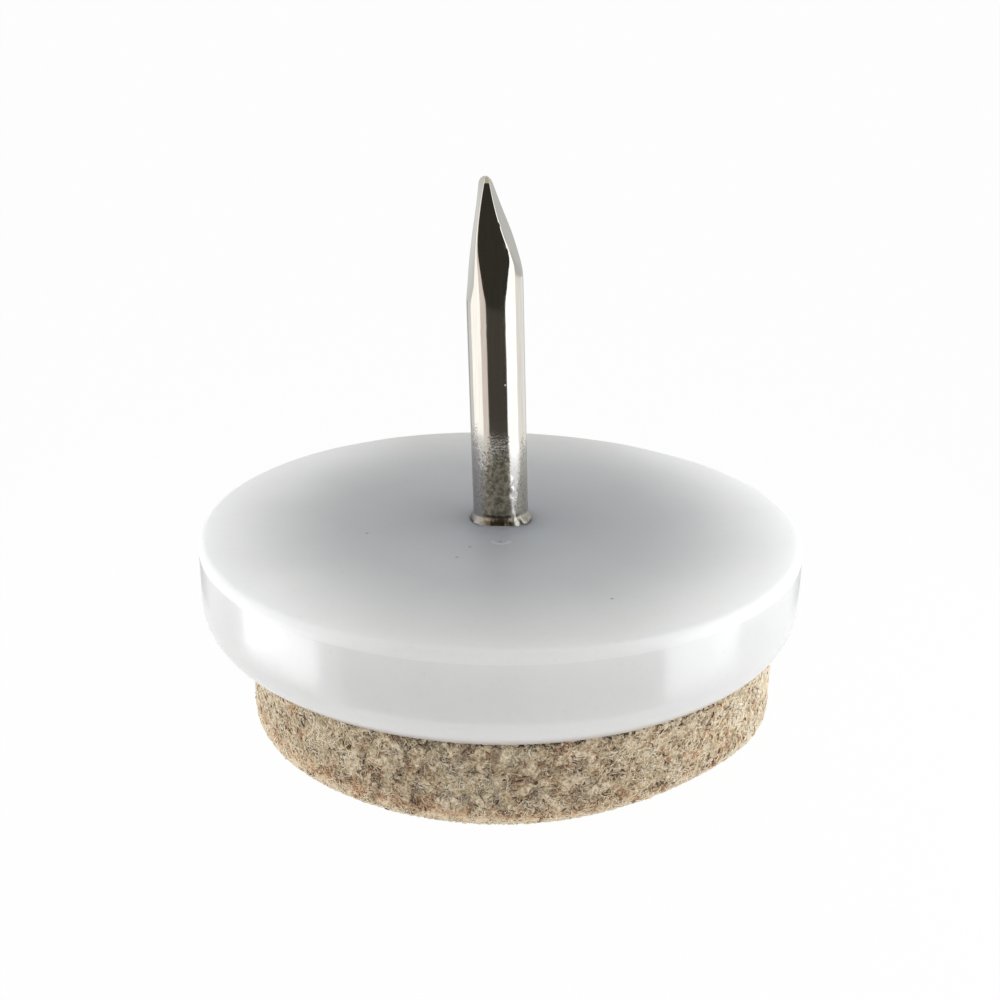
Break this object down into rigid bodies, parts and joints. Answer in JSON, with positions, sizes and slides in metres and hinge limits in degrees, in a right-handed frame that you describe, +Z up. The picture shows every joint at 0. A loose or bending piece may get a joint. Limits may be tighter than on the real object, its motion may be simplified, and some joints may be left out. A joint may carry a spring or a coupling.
{
  "type": "felt furniture glide",
  "caption": "Nail-on furniture glide: a round plastic disc moulded on a short nail with a pinched point, and a thick wool felt disc glued beneath it to slide on floors.",
  "frame": {"origin": "on the floor under the middle of the plastic disc, in the felt's sliding face", "axes": "+Z up, from the felt towards the nail's point; +X to the right and -Y to the front as the picture shows it"},
  "size_m": [0.024, 0.024, 0.0212],
  "materials": {
    "plastic": "milky white moulded polyethylene, satin, slightly translucent",
    "nail_metal": "bright nickel plated steel wire with fine drawn streaks",
    "wool_felt": "pressed wool felt of mixed beige, grey and brown fibres, cut edge"
  },
  "bodies": {
    "root": {"glide_base": "plastic", "nail": "nail_metal", "felt_pad": "wool_felt"}
  },
  "joints": []
}
